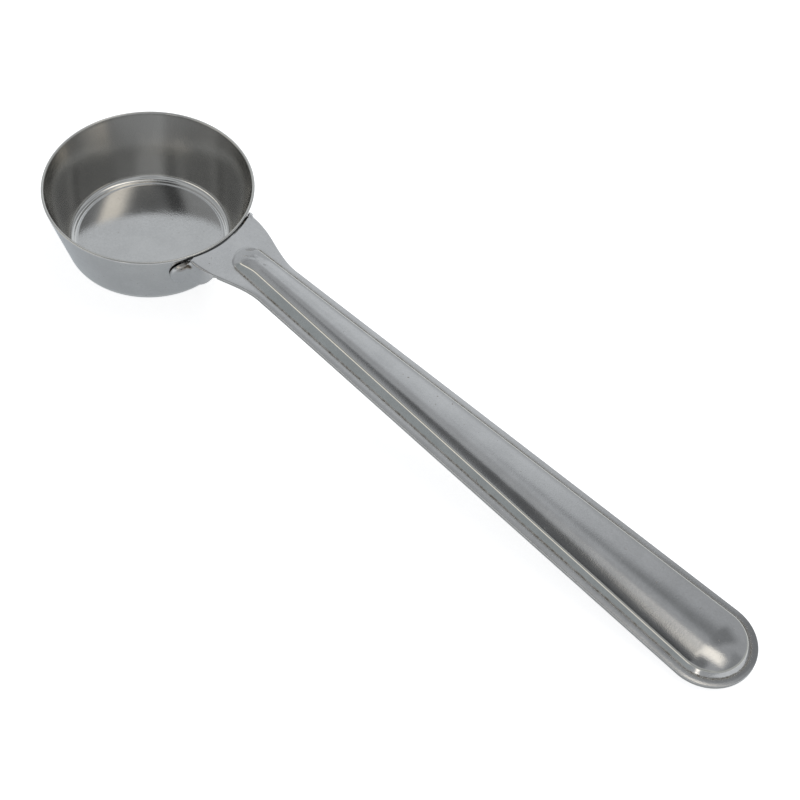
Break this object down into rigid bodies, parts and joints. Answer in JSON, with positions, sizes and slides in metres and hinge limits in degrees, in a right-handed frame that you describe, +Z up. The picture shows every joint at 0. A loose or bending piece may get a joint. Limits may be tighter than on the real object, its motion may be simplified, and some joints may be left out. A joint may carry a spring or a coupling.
{
  "type": "powder scoop",
  "caption": "Small round powder scoop: a shallow flared steel cup spot welded under its rim to a long pressed handle with a raised rib and a forked front end.",
  "frame": {"origin": "middle of the flat disc that the cup stands on", "axes": "+X along the handle from the cup to the far end, +Y to the left seen from the cup, +Z up along the cup's axis"},
  "size_m": [0.1799, 0.044, 0.0175],
  "materials": {
    "cup_steel": "drawn and polished stainless steel, soft satin reflections",
    "handle_steel": "pressed stainless steel sheet, satin with fine lengthwise marks",
    "weld_metal": "fused steel with brown heat tint"
  },
  "bodies": {
    "root": {"cup": "cup_steel", "handle": "handle_steel", "weld_left": "weld_metal", "weld_right": "weld_metal"}
  },
  "joints": []
}
